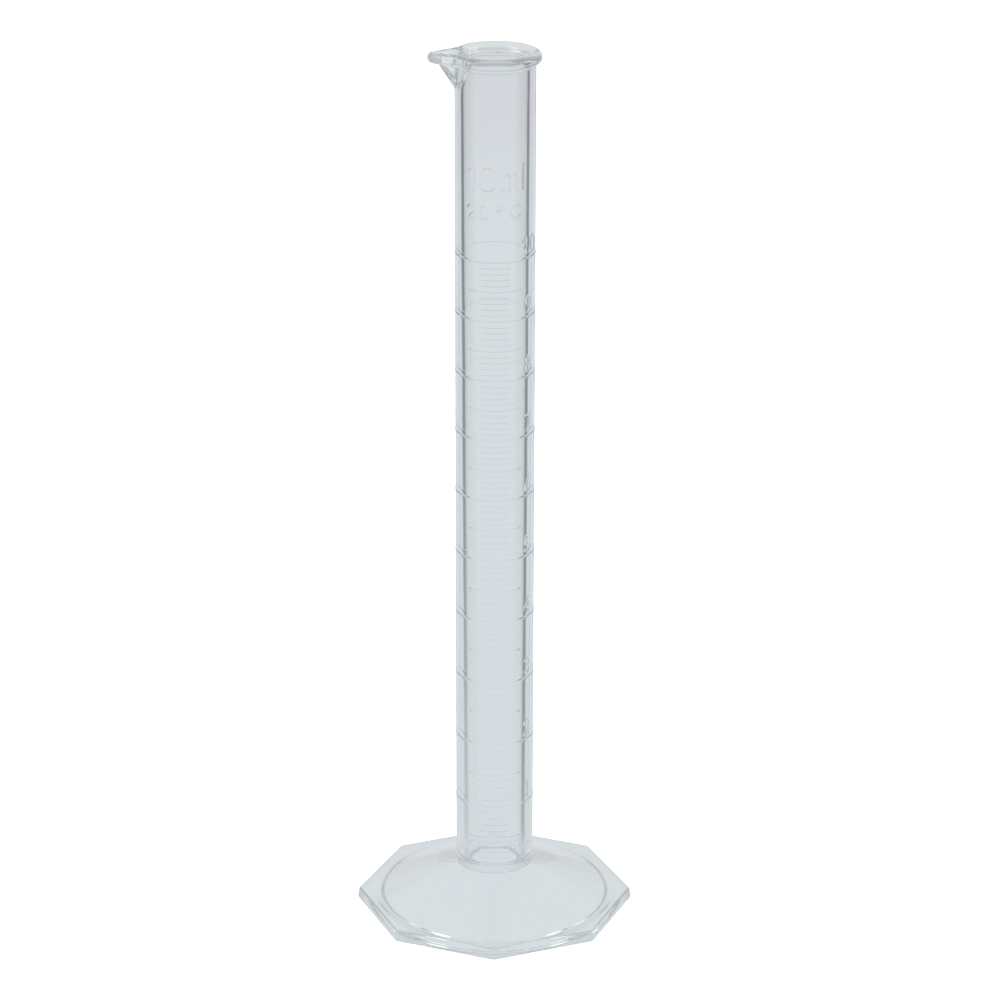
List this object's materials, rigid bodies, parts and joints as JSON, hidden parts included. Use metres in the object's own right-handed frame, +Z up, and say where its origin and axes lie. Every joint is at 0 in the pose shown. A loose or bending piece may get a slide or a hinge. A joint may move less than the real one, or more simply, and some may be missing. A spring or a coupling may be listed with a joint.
{
  "type": "graduated cylinder",
  "caption": "Tall clear plastic measuring cylinder with a raised millilitre scale, a beaded rim with a pouring spout and an octagonal foot.",
  "frame": {"origin": "centre of the foot in the plane it stands on, on the barrel's axis", "axes": "+Z up along the barrel; the scale faces -Y and the spout points along -X"},
  "size_m": [0.051, 0.051, 0.1616],
  "materials": {
    "clear_plastic": "clear rigid moulded plastic, polished, with a faint blue-grey tint"
  },
  "bodies": {
    "root": {"foot": "clear_plastic", "barrel": "clear_plastic", "rim": "clear_plastic", "spout": "clear_plastic", "ring_marks": "clear_plastic", "half_marks": "clear_plastic", "fine_marks": "clear_plastic", "numerals": "clear_plastic", "capacity_text": "clear_plastic", "temperature_text": "clear_plastic"}
  },
  "joints": []
}
